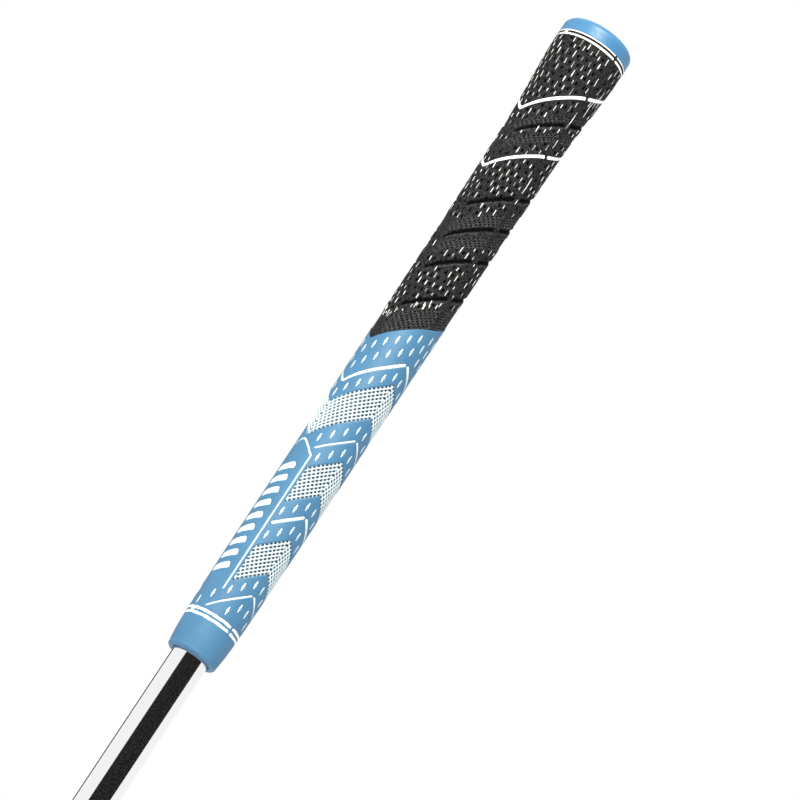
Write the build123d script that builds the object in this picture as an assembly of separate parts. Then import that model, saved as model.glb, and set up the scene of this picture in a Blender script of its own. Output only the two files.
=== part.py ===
from build123d import *
import math
import os

# Golf grip, fitted on the butt end of a steel shaft.
#
# Millimetres. The shaft's axis is Z with the butt cap at the top, and the origin is the centre of
# the shaft section's lower end. Stations are heights above the grip's mouth. Azimuths are degrees
# from the front meridian (-Y) towards +X; the emblem panel faces the front, and the two mould seams
# run down the sides.

# Shaft section and the tape that bonds the grip to it
BARE_SHAFT = 90.0
BUTT_STATION = 262.0
SHAFT_RADIUS = 6.7
SHAFT_BUTT_RADIUS = 7.62
SHAFT_STEP_STATIONS = (0.0, 38.0, 76.0, 114.0, 152.0, 190.0)
SHAFT_WALL = 0.65
TAPE_THICKNESS = 0.2
TAPE_START = 6.0
TAPE_TUCK = 12.0

# Grip: outside radius at each station, from the lip's edge to the cap's straight side
GRIP_LENGTH = 267.0
OUTLINE = (
    (2.0, 9.3), (12.0, 10.02), (39.0, 10.42), (84.0, 10.57), (132.0, 10.7), (175.0, 10.95),
    (210.0, 11.35), (228.0, 11.75), (246.0, 12.95), (256.0, 13.4),
)
LIP_RADIUS = 1.2
CAP_EDGE_RADIUS = 2.6
CAP_DOME = 0.4

# Joints between the three rubber mouldings
CAP_STATION = 260.4
CAP_PLUG_RADIUS = 10.5
CAP_PLUG_DEPTH = 8.0
VENT_RADIUS = 0.8
BORDER_STATION = 127.2
LAP_RADIUS = 8.9
LAP_STATION = 170.0

# Cotton mesh moulded into the upper hand
CORD_DEPTH = 0.9
CORD_THICKNESS = 0.5
CORD_MARGIN = 8.4

# Chevron pattern: a slope is the tangent of a line's angle to the hoop direction
SEAM_AZIMUTH = 96.0
UPPER_SLOPE = 0.775
LOWER_SLOPE = 0.928
GROOVE_DEPTH = 0.5
PAINT_RECESS = 0.15
SEAM_GAP = 0.8

# Upper hand: two painted V lines and five bare grooves, by station on the front meridian
UPPER_LINES = (201.0, 226.0)
UPPER_GROOVES = (138.9, 155.1, 168.7, 181.9, 214.1)
UPPER_LINE_HEIGHT = 1.5
UPPER_GROOVE_HEIGHT = 1.8

# Lower hand: (station at the seam, height, reach from the seam to the front and to the back)
CHEVRONS = (
    (27.6, 1.2, 70.0, 68.0), (59.6, 1.7, 52.0, 84.0),
    (92.3, 1.2, 60.0, 84.0), (124.6, 1.6, 96.0, 84.0),
)
TEXTURES = ((37.2, 13.5, 53.0, 84.0), (70.0, 13.5, 53.0, 84.0), (102.6, 13.6, 96.0, 84.0))

# Painted rings, each from one station to another, with a bridge on the front meridian
MOUTH_RINGS = ((12.0, 12.9), (13.8, 14.7))
CAP_RINGS = ((258.2, 259.1), (259.9, 260.4))
BRIDGE_WIDTH = 1.6

# Emblem panel: its outline, and the plain slanted bars inside it
PANEL_AZIMUTH = 36.5
PANEL_START = 23.7
PANEL_PEAK = 84.0
PANEL_SLOPE = 0.73
PANEL_LINE = 0.7
BAR_COUNT = 9
BAR_STATION = 31.0
BAR_PITCH = 5.2
BAR_SIZE = (7.6, 2.3)
BAR_SLANT = 22.0

# Working sizes for cutting tools, clear of the grip on every side
TOOL_RADIUS = 30.0
TOOL_CORE = 5.0
TOOL_FACET = 45.0
SLAB_SPAN = 96.0
VEE_BAND = 25.0
GRIP_TOP = BARE_SHAFT + GRIP_LENGTH


def height(station):
    """Height above the origin of a station on the grip."""
    return BARE_SHAFT + station


def direction(azimuth, radius=1.0):
    """Plan position at an azimuth, counted from -Y towards +X."""
    angle = math.radians(azimuth - 90.0)
    return (radius * math.cos(angle), radius * math.sin(angle))


def turned(*edges):
    """Solid of revolution about Z from a closed profile drawn as (radius, height)."""
    return revolve(Plane.XZ * Face(Wire(edges)), Axis.Z)


def polygon_turned(points):
    """Solid of revolution about Z from straight-sided (radius, height) corners."""
    return revolve(Plane.XZ * make_face(Polyline(*points, close=True)), Axis.Z)


def ring(inner, outer, low, high):
    """Plain ring between two radii and two heights."""
    return polygon_turned([(inner, low), (outer, low), (outer, high), (inner, high)])


def mirrored(shapes):
    """The shapes and their reflections in the plane of the front meridian."""
    return shapes + [shape.mirror(Plane.YZ) for shape in shapes]


def sector(first, last, inner, outer):
    """Plan polygon between two azimuths and two radii, in facets of TOOL_FACET at most."""
    facets = math.ceil((last - first) / TOOL_FACET)
    azimuths = [first + (last - first) * i / facets for i in range(facets + 1)]
    rim = [direction(azimuth, outer) for azimuth in azimuths]
    hub = [direction(azimuth, inner) for azimuth in reversed(azimuths)]
    return make_face(Polyline(*rim, *hub, close=True)).face()


def wedge(first, last):
    """Everything between two azimuths, over the whole height."""
    return extrude(sector(first, last, 0.01, TOOL_RADIUS), GRIP_TOP)


def outline_radius(station):
    """Outside radius of the grip at a station."""
    for (low, low_radius), (high, high_radius) in zip(OUTLINE, OUTLINE[1:]):
        if station <= high:
            return low_radius + (high_radius - low_radius) * (station - low) / (high - low)
    return OUTLINE[-1][1]


def climb(slope, station, degrees):
    """Height gained along a line of a given slope, near a station, over some degrees of azimuth."""
    return slope * outline_radius(station) * math.radians(degrees)


def arm(station, slope, first, last, band):
    """Band that climbs steadily from one azimuth to another, its lower edge starting at station.

    It is a row of tilted slabs, each meeting the true helix at both its ends and its middle.
    """
    count = math.ceil((last - first) / SLAB_SPAN)
    half = (last - first) / count / 2.0
    slabs = []
    for index in range(count):
        middle = first + half * (2 * index + 1)
        level = station + climb(slope, station, middle - first)
        rise = climb(slope, station, half)
        tilt = math.atan2(rise, outline_radius(level) * math.sin(math.radians(half)))
        slab = Box(4.0 * TOOL_RADIUS, 4.0 * TOOL_RADIUS, band * math.cos(tilt))
        turn = Rot(0, 0, middle) * Rot(0, -math.degrees(tilt), 0)
        placed = Pos(0, 0, height(level) + band / 2.0) * turn * slab
        slabs.append(placed & wedge(middle - half, middle + half))
    return slabs[0] + slabs[1:]


def vee(station, band):
    """V that climbs from the front meridian, round both sides, to a peak at the back."""
    return mirrored([arm(station, UPPER_SLOPE, 0.0, 180.0, band)])


def zigzag(seam_station, band, front_reach, back_reach):
    """Chevron that climbs to a peak on each seam from the front, and falls away behind it."""
    arms = []
    for reach, seam in ((front_reach, SEAM_AZIMUTH), (back_reach, -SEAM_AZIMUTH)):
        start = seam_station - climb(LOWER_SLOPE, seam_station, reach)
        arms.append(arm(start, LOWER_SLOPE, seam - reach, seam, band))
    return mirrored(arms)


def split_at_vee(solid, station):
    """The solid's parts below and above a V-shaped surface."""
    top = ring(0.0, TOOL_RADIUS, height(station + VEE_BAND - 1.0), GRIP_TOP + 1.0)
    below = solid - vee(station, VEE_BAND) - top
    return below, solid - below


def shaft_corners(offset, low, high):
    """Corners of the stepped outside of the shaft, moved outwards, between two heights."""
    step = (SHAFT_BUTT_RADIUS - SHAFT_RADIUS) / len(SHAFT_STEP_STATIONS)
    radius = SHAFT_RADIUS + offset
    corners = [(0.0, low)]
    for station in SHAFT_STEP_STATIONS:
        if height(station) > low:
            corners += [(radius, max(low, corners[-1][1])), (radius, height(station))]
        radius += step
    ledge = max(low, corners[-1][1])
    return corners + [(radius, ledge), (radius, high), (0.0, high)]


def shaft_section():
    """Stepped steel tube, open at both ends."""
    top = height(BUTT_STATION)
    outside = polygon_turned(shaft_corners(0.0, 0.0, top))
    return outside - polygon_turned(shaft_corners(-SHAFT_WALL, 0.0, top))


def tape_envelope():
    """The taped shaft as a solid plug, from the tape's lower edge to its folded end."""
    high = height(BUTT_STATION) + TAPE_THICKNESS
    return polygon_turned(shaft_corners(TAPE_THICKNESS, height(TAPE_START), high))


def grip_tape():
    """Double-sided tape round the shaft, folded over the butt and tucked into the bore."""
    low = height(BUTT_STATION - TAPE_TUCK)
    high = height(BUTT_STATION)
    bore = SHAFT_BUTT_RADIUS - SHAFT_WALL
    wrap = tape_envelope() - polygon_turned(shaft_corners(0.0, height(TAPE_START), high))
    tuck = ring(bore - TAPE_THICKNESS, bore, low, high)
    eye = ring(0.0, bore - TAPE_THICKNESS, high, high + TAPE_THICKNESS)
    return wrap + tuck - eye


def grip_body():
    """Outside shape of the whole grip as one solid, with its rolled lip and rounded cap."""
    lip, side = OUTLINE[0], OUTLINE[-1]
    top = GRIP_TOP - CAP_DOME
    edge_start = (side[1], top - CAP_EDGE_RADIUS)
    edge_end = (side[1] - CAP_EDGE_RADIUS, top)
    points = [(radius, height(station)) for station, radius in OUTLINE]
    lip_inner = (lip[1] - LIP_RADIUS, height(0.0))
    return turned(
        Line((0, height(0.0)), lip_inner),
        SagittaArc(lip_inner, points[0], 0.35 * LIP_RADIUS),
        Spline(*points),
        Line(points[-1], edge_start),
        TangentArc(edge_start, edge_end, tangent=(0, 1)),
        ThreePointArc(edge_end, (0.5 * edge_end[0], top + 0.75 * CAP_DOME), (0, GRIP_TOP)),
        Line((0, GRIP_TOP), (0, height(0.0))),
    )


def skin(depth, thickness):
    """Layer of the grip a given depth below its outside, from the mouth's rings to the cap."""
    low, high = height(OUTLINE[0][0]), height(CAP_STATION)
    points = [(radius, height(station)) for station, radius in OUTLINE]
    outer = [(radius - depth, level) for radius, level in points]
    inner = [(radius - thickness, level) for radius, level in outer]
    layer = turned(
        Spline(*outer),
        Line(outer[-1], (outer[-1][0], high)),
        Line((outer[-1][0], high), (inner[-1][0], high)),
        Line((inner[-1][0], high), inner[-1]),
        Spline(*inner),
        Line(inner[0], outer[0]),
    )
    return layer


def axial_bar(azimuth, station, length, width, slant=0.0):
    """Block standing through the grip's outside at an azimuth, its length along the shaft."""
    across = TOOL_RADIUS - TOOL_CORE
    block = Rot(0, slant, 0) * Box(width, across, length)
    middle = Pos(0, -(TOOL_CORE + across / 2.0), height(station))
    return Rot(0, 0, azimuth) * middle * block


def ring_bands(stations):
    """Painted rings between pairs of stations, with a bridge between them at the front."""
    bands = [ring(TOOL_CORE, TOOL_RADIUS, height(low), height(high)) for low, high in stations]
    low, high = stations[0][1], stations[1][0]
    bands.append(axial_bar(0.0, (low + high) / 2.0, high - low, BRIDGE_WIDTH))
    return bands


def panel_bands():
    """Emblem panel's outline: two straight sides and a peak on the front meridian."""
    shoulder_station = PANEL_PEAK - climb(PANEL_SLOPE, PANEL_PEAK, PANEL_AZIMUTH)
    length = shoulder_station + PANEL_LINE - PANEL_START
    side = axial_bar(PANEL_AZIMUTH, PANEL_START + length / 2.0, length, PANEL_LINE)
    shoulder = arm(shoulder_station, PANEL_SLOPE, -PANEL_AZIMUTH, 0.0, PANEL_LINE)
    return mirrored([side, shoulder])


def panel_bars():
    """Row of plain slanted bars along the panel's middle."""
    length, width = BAR_SIZE
    bars = []
    for index in range(BAR_COUNT):
        station = BAR_STATION + index * BAR_PITCH
        bars.append(axial_bar(0.0, station, width, length, BAR_SLANT))
    return bars


def seam_gaps():
    """Slots on the two mould seams that interrupt every ring and line."""
    length = 2.0 * GRIP_LENGTH
    return mirrored([axial_bar(SEAM_AZIMUTH, 0.0, length, SEAM_GAP)])


def inlay(depth, thickness, bands):
    """The parts of one layer of the grip that lie inside any of the bands."""
    layer = skin(depth, thickness)
    pieces = [layer & band for band in bands]
    return pieces[0] + pieces[1:]


def painted(bands, gaps):
    """Paint solids for some bands, and the deeper grooves that they lie in."""
    groove = inlay(0.0, GROOVE_DEPTH, bands)
    paint = inlay(PAINT_RECESS, GROOVE_DEPTH - PAINT_RECESS, bands)
    if gaps:
        groove = groove - gaps
        paint = paint - gaps
    return groove, paint


def cord_fabric():
    """Cotton mesh layer in the upper hand, V-shaped below and trimmed flush under the cap."""
    return split_at_vee(skin(CORD_DEPTH, CORD_THICKNESS), BORDER_STATION + CORD_MARGIN)[1]


def save(parts):
    """Write one STEP file per sub-part."""
    os.makedirs("parts", exist_ok=True)
    for name, shape in parts.items():
        export_step(shape, f"parts/{name}.step")


def main():
    gaps = seam_gaps()
    shaft_hole = [polygon_turned(shaft_corners(0.0, 0.0, height(BUTT_STATION))), tape_envelope()]
    body = grip_body()

    plug = ring(0.0, CAP_PLUG_RADIUS, height(CAP_STATION - CAP_PLUG_DEPTH), GRIP_TOP)
    vent = ring(0.0, VENT_RADIUS, height(BUTT_STATION), GRIP_TOP + 1.0)
    end = ring(0.0, TOOL_RADIUS, height(CAP_STATION), GRIP_TOP + 1.0)
    cap = (body & end) + plug.intersect(body)
    parts = {
        "shaft_section": shaft_section(),
        "grip_tape": grip_tape(),
        "butt_cap": cap - shaft_hole - vent,
        "cord_fabric": cord_fabric(),
    }

    lap = ring(0.0, LAP_RADIUS, height(LIP_RADIUS), height(LAP_STATION))
    lower = split_at_vee(body, BORDER_STATION)[0] + lap
    upper = body - lower - cap - parts["cord_fabric"] - shaft_hole
    lower = lower - shaft_hole

    grooves = [arm_shape for station in UPPER_GROOVES for arm_shape in vee(station, UPPER_GROOVE_HEIGHT)]
    upper = upper - inlay(0.0, GROOVE_DEPTH, grooves)
    for index, station in enumerate(UPPER_LINES, start=1):
        groove, paint = painted(vee(station, UPPER_LINE_HEIGHT), gaps)
        upper = upper - groove
        parts[f"upper_line_paint_{index}"] = paint
    groove, paint = painted(ring_bands(CAP_RINGS), gaps)
    parts["upper_hand_sleeve"] = upper - groove
    parts["cap_ring_paint"] = paint

    lower_bands = {"mouth_ring_paint": ring_bands(MOUTH_RINGS)}
    for index, chevron in enumerate(CHEVRONS, start=1):
        lower_bands[f"chevron_paint_{index}"] = zigzag(*chevron)
    for name, bands in lower_bands.items():
        groove, parts[name] = painted(bands, gaps)
        lower = lower - groove
    whole_bands = {"panel_outline_paint": panel_bands(), "panel_bar_paint": panel_bars()}
    for index, texture in enumerate(TEXTURES, start=1):
        whole_bands[f"texture_paint_{index}"] = zigzag(*texture)
    for name, bands in whole_bands.items():
        groove, parts[name] = painted(bands, [])
        lower = lower - groove
    parts["lower_hand_sleeve"] = lower
    save(parts)


main()
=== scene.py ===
import math

import bpy
import numpy as np
from mathutils import Matrix, Vector


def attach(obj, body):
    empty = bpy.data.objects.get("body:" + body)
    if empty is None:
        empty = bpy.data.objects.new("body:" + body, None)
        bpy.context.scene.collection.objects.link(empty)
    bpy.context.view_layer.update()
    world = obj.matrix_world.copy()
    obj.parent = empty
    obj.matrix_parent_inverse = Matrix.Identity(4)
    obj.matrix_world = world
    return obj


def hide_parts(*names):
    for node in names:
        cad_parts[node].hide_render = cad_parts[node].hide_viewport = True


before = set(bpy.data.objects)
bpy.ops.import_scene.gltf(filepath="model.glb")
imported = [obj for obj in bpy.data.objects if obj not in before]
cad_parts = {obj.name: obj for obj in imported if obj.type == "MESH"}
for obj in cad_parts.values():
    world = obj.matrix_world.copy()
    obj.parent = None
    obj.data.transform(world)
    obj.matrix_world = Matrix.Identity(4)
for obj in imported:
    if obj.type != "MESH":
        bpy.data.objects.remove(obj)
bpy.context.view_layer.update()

# Golf grip on its shaft section, with the butt cap at the top.
#
# Sizes are in millimetres and angles in degrees unless a name says otherwise. A station is a height
# above the grip's mouth, and an azimuth is counted from the front meridian (-Y) towards +X. The
# emblem panel faces the front and the two mould seams run down the sides.

MM = 0.001
SEED = 11

# Shaft
BARE_SHAFT = 90.0
SHAFT_RADIUS = 6.7
SHAFT_WALL = 0.65
SHAFT_CHAMFER = 0.25
SHAFT_HIDDEN = 40.0

# Grip outline: outside radius at each station, from just above the lip to the cap
GRIP_LENGTH = 267.0
OUTLINE = (
    (0.0, 8.9), (2.0, 9.3), (5.0, 9.65), (12.0, 10.02), (24.0, 10.27), (39.0, 10.42),
    (84.0, 10.57), (132.0, 10.7), (175.0, 10.95), (198.0, 11.2), (210.0, 11.35), (222.0, 11.55),
    (228.0, 11.75), (234.0, 12.1), (246.0, 12.93), (252.0, 13.3), (256.0, 13.4), (268.0, 13.4),
)
LIP_RADIUS = 1.1
MOUTH_DEPTH = 5.0
CAP_STATION = 260.4
CAP_EDGE_RADIUS = 2.6
CAP_DOME = 0.4
VENT_RADIUS = 0.8
VENT_DEPTH = 4.0

# Pattern: a slope is the tangent of a line's angle to the hoop direction
SEAM_AZIMUTH = 96.0
SEAM_RIDGE = 0.05
LOWER_SLOPE = 0.928
LOWER_REAR_SLOPE = 0.8
UPPER_SLOPE = 0.775
UPPER_REAR_SLOPE = 0.58
VEE_TURN = 84.0
VEE_TURN_ROUNDING = 6.0
VEE_ROUNDING = 3.2
GROOVE_DEPTH = 0.5
GROOVE_WALL = 0.32
PAINT_RECESS = 0.08
SEAM_GAP = 0.45
SEAM_PLAIN = 0.7
SLEEVE_EDGE = 1.6

# Lower hand: (station of the centre line at the seam, width, reach to the front, reach to the back)
CHEVRONS = (
    (27.9, 0.4, 71.5, 68.0), (60.6, 0.85, 52.0, 84.0),
    (92.9, 0.4, 62.0, 84.0), (125.3, 0.85, 96.0, 84.0),
)
# (station of the lower edge at the seam, height, reach to the front, reach to the back)
TEXTURES = ((37.2, 13.5, 53.0, 84.0), (70.0, 13.5, 53.0, 84.0), (102.6, 13.6, 96.0, 84.0))
HOLE_ROWS = 8
HOLE_PITCH = 6.15
HOLE_SHIFT = 3.2
HOLE_SIZE = (0.60, 0.41)

# Painted rings (low, high), their bridge at the front and their gap at the seams
MOUTH_RINGS = ((12.1, 12.75), (13.95, 14.6))
CAP_RINGS = ((258.45, 258.95), (260.15, 260.4))
BRIDGE_WIDTH = 1.5

# Emblem panel
PANEL_AZIMUTH = 36.5
PANEL_START = 23.7
PANEL_PEAK = 84.3
PANEL_LINE = 0.35
BAR_COUNT = 9
BAR_STATION = 31.0
BAR_PITCH = 5.2
BAR_SIZE = (7.6, 2.3)
BAR_SLANT = 22.0

# Printed dashes: rows below the seam's peaks as (station at the seam, number in front of the seam)
DASH_SIZE = (3.2, 0.95)
DASH_PITCH = 18.5
DASH_FIRST = 10.0
SEAM_ROWS = ((22.9, 2), (32.7, 3), (55.4, 3), (65.3, 3), (87.9, 3), (97.5, 4))
# Rows that start on the front meridian, as (station there, rise per degree), and one behind the seam
FRONT_PITCH = 17.6
FRONT_COUNT = 6
FRONT_ROWS = ((103.9, 0.17), (115.7, 0.158), (122.6, 0.142))
BACK_ROW = 120.1
LOOSE_DASHES = ((24.0, 20.9), (0.0, 17.2))
DASH_CLEARANCE = 4.0
DASH_LOWEST = 16.4
# Diamond field behind the seams, above the last chevron
FIELD_START = (105.0, 133.0)
FIELD_STEP = (9.5, 4.6)
FIELD_CLEARANCE = 3.0

# Upper hand, by station on the front meridian
BORDER_STATION = 127.15
UPPER_LINES = ((201.8, 0.88), (226.8, 0.9))
UPPER_GROOVES = (140.2, 156.4, 170.0, 183.2, 215.4)
UPPER_GROOVE_WIDTH = 1.45
UPPER_GROOVE_DEPTH = 0.5
GROOVE_FRONT_END = 14.0
BAND_FRONT_END = 8.0
# Bands of small pits: (lower edge, height, rows)
PIT_BANDS = ((127.7, 8.2, 7), (162.4, 4.4, 4), (171.6, 4.6, 4), (208.3, 3.2, 3), (216.0, 3.2, 3))
BAND_DEPTH = 0.2
PIT_DEPTH = 0.45
PIT_PITCH = 1.35
PIT_SIZE = (0.44, 0.38)
# Raised lip under each bare groove: height, distance below the groove's centre, and width
GROOVE_LIP = 0.1
LIP_OFFSET = 1.2
LIP_WIDTH = 0.34
# Painted shade of the bare grooves: the relief they are given, which the material turns into darker
# colour
GROOVE_PAINTED_SHADE = 0.85
# Lattice of the cotton mesh: a cord shows at every second crossing and a dimple at the others
CORD_COLUMNS = 52
CORD_PITCH = 6.15
CORD_START = 137.1
CORD_DRIFT = 0.02
DIMPLE_DEPTH = 0.4
DIMPLE_SIZE = (0.48, 0.8)
CORD_LENGTHS = (1.3, 2.9)
CORD_WIDTHS = (0.28, 0.42)
CORDS_SHOWN = 0.78
BORDER_STRANDS = 70
LONG_STRANDS_FROM = 236.0
LONG_STRAND_STRETCH = 1.25
# Strands on the seams as (station, length), and behind them as (degrees behind, station, length)
SEAM_STRANDS = (
    (154.5, 1.6), (168.2, 1.5), (174.2, 1.5), (196.0, 2.8), (203.0, 8.4), (221.3, 4.6), (231.8, 9.6),
)
WAVY_STRANDS = ((16.0, 240.5, 10.0), (23.0, 245.0, 9.0), (-4.0, 248.0, 3.5))


def smooth(value):
    """Smooth step from 0 to 1 as value goes from 0 to 1."""
    value = np.clip(value, 0.0, 1.0)
    return value * value * (3.0 - 2.0 * value)


def outline(station):
    """Outside radius of the grip at each station, as a smooth curve through OUTLINE."""
    stations, radii = np.array(OUTLINE).T
    slopes = np.gradient(radii, stations)
    index = np.clip(np.searchsorted(stations, station) - 1, 0, len(stations) - 2)
    span = stations[index + 1] - stations[index]
    t = (station - stations[index]) / span
    start = radii[index] * (1 + 2 * t) * (1 - t) ** 2 + slopes[index] * span * t * (1 - t) ** 2
    end = radii[index + 1] * t * t * (3 - 2 * t) + slopes[index + 1] * span * t * t * (t - 1)
    return start + end


def degree_length(station):
    """Length along the hoop, in millimetres, of one degree of azimuth."""
    return outline(station) * math.radians(1.0)


def place(azimuth, station, radius):
    """Points in metres from azimuths, stations and radii."""
    azimuth, station, radius = np.broadcast_arrays(azimuth, station, radius)
    angle = np.radians(azimuth)
    flat = [radius * np.sin(angle), -radius * np.cos(angle), BARE_SHAFT + station]
    return MM * np.stack(flat, axis=-1)


# Pattern curves ---------------------------------------------------------------------------------


def from_seam(azimuth):
    """Signed azimuth past the nearer seam: negative in front of it and positive behind it."""
    return np.abs(azimuth) - SEAM_AZIMUTH


def zigzag(seam_station, azimuth):
    """Station of a chevron curve that peaks on the seams and falls away on both sides."""
    past = from_seam(azimuth)
    slope = np.where(past < 0.0, LOWER_SLOPE, LOWER_REAR_SLOPE)
    return seam_station - slope * degree_length(seam_station) * np.abs(past)


def vee(front_station, azimuth):
    """Station of a V that climbs from the front meridian to the back, more gently past its turn."""
    past = np.abs(azimuth) - VEE_TURN
    eased = 0.5 * (past + np.sqrt(past**2 + VEE_TURN_ROUNDING**2))
    run = np.sqrt(azimuth**2 + VEE_ROUNDING**2) - VEE_ROUNDING
    climb = UPPER_SLOPE * run - (UPPER_SLOPE - UPPER_REAR_SLOPE) * eased
    return front_station + degree_length(front_station + 6.0) * climb


def panel_top(azimuth):
    """Station of the emblem panel's peaked end."""
    rise = LOWER_SLOPE * degree_length(PANEL_PEAK)
    return PANEL_PEAK - rise * (np.sqrt(azimuth**2 + 64.0) - 8.0)


def channel(offset, width):
    """Share of full depth across a groove: 1 inside it and 0 beyond its sloping walls."""
    return smooth((0.5 * (width + GROOVE_WALL) - np.abs(offset)) / GROOVE_WALL)


def between(value, low, high, edge):
    """1 between two limits, falling to 0 over an edge outside them."""
    return smooth((value - low) / edge + 1.0) * smooth((high - value) / edge + 1.0)


def slanted(offset, slope):
    """Distance across a sloping line from the height above it."""
    return offset * math.cos(math.atan(slope))


def hole_distance(azimuth, station, seam_station, height):
    """Distance to the nearest hole of a texture panel, as a share of the hole's own size."""
    front = SEAM_AZIMUTH - np.abs(from_seam(azimuth))
    rise = station - zigzag(seam_station, azimuth)
    pitch = height / HOLE_ROWS
    row = np.round(rise / pitch)
    column = np.round((front + HOLE_SHIFT * rise / pitch) / HOLE_PITCH)
    off_front = front - (column * HOLE_PITCH - HOLE_SHIFT * row)
    hoop = degree_length(seam_station)
    across = off_front * hoop
    along = rise - row * pitch + LOWER_SLOPE * across
    tilt = math.atan2(1.0, LOWER_SLOPE)
    major = (along * math.cos(tilt) + across * math.sin(tilt)) / HOLE_SIZE[0]
    minor = (across * math.cos(tilt) - along * math.sin(tilt)) / HOLE_SIZE[1]
    return np.hypot(major, minor)


def texture_region(azimuth, station, texture, margin=0.0):
    """1 inside a texture panel and 0 outside, optionally grown by a margin."""
    seam_station, height, front_reach, back_reach = texture
    rise = station - zigzag(seam_station, azimuth)
    past = from_seam(azimuth)
    reach = between(past, -front_reach - margin, back_reach + margin, 1.0)
    return reach * between(rise, -0.3 - margin, height + 0.3 + margin, GROOVE_WALL)


def gap_at_seam(azimuth, station):
    """0 on the mould seams and 1 away from them."""
    distance = np.abs(from_seam(azimuth)) * degree_length(station)
    return smooth((distance - SEAM_GAP) / 0.2 + 1.0)


# Relief of the two sleeves ----------------------------------------------------------------------


def seam_ridge(azimuth, station):
    """Height of the parting line that the mould leaves down each side."""
    distance = from_seam(azimuth) * degree_length(station)
    return SEAM_RIDGE * np.exp(-((distance / 0.18) ** 2))


def lower_depth(azimuth, station):
    """Depth of the lower sleeve's surface below the outline."""
    past = from_seam(azimuth)
    open_seam = gap_at_seam(azimuth, station)
    depth = np.zeros(np.broadcast(azimuth, station).shape)
    for seam_station, width, front_reach, back_reach in CHEVRONS:
        offset = slanted(station - zigzag(seam_station, azimuth), LOWER_SLOPE)
        reach = between(past, -front_reach, back_reach, 1.2)
        depth = np.maximum(depth, channel(offset, width) * reach * open_seam)
    for low, high in MOUTH_RINGS:
        depth = np.maximum(depth, channel(station - 0.5 * (low + high), high - low) * open_seam)
    for texture in TEXTURES:
        depth = np.maximum(depth, texture_region(azimuth, station, texture))
    hoop = degree_length(station)
    side = channel((np.abs(azimuth) - PANEL_AZIMUTH) * hoop, PANEL_LINE)
    side = side * between(station, PANEL_START, panel_top(PANEL_AZIMUTH), 0.3)
    peak = channel(slanted(station - panel_top(azimuth), LOWER_SLOPE), PANEL_LINE)
    peak = peak * (np.abs(azimuth) < PANEL_AZIMUTH + 1.0)
    depth = np.maximum(depth, np.maximum(side, peak))
    for index in range(BAR_COUNT):
        depth = np.maximum(depth, bar_share(azimuth * hoop, station, index))
    bridge = channel(azimuth * hoop, BRIDGE_WIDTH)
    bridge = bridge * between(station, MOUTH_RINGS[0][1], MOUTH_RINGS[1][0], 0.2)
    depth = GROOVE_DEPTH * np.maximum(depth, bridge)
    return depth - seam_ridge(azimuth, station) * (depth < 0.01)


def bar_share(across, station, index):
    """Groove share of one plain slanted bar of the emblem panel."""
    slant = math.radians(BAR_SLANT)
    up = station - (BAR_STATION + index * BAR_PITCH)
    long = across * math.cos(slant) + up * math.sin(slant)
    short = up * math.cos(slant) - across * math.sin(slant)
    return channel(long, BAR_SIZE[0]) * channel(short, BAR_SIZE[1])


def staggered(across, along, pitch_across, pitch_along, size):
    """Pit share of a staggered lattice of small diamonds."""
    row = np.round(along / pitch_along)
    shift = 0.5 * pitch_across * (row % 2)
    off_across = across + shift - pitch_across * np.round((across + shift) / pitch_across)
    off_along = along - row * pitch_along
    return smooth(1.35 - np.hypot(off_across / size[0], off_along / size[1]))


def dimples(azimuth, station):
    """Share of the dimples that lie between the cords of one column."""
    pitch = 360.0 / CORD_COLUMNS
    column = np.round((azimuth + 180.0) / pitch - 0.5)
    across = (azimuth + 180.0 - (column + 0.5) * pitch) * degree_length(station)
    start = CORD_START + 0.5 * CORD_PITCH * (1.0 + column % 2) + CORD_DRIFT * np.abs(azimuth)
    along = station - start
    along = along - CORD_PITCH * np.round(along / CORD_PITCH)
    return smooth(1.35 - np.hypot(across / DIMPLE_SIZE[0], along / DIMPLE_SIZE[1]))


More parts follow.
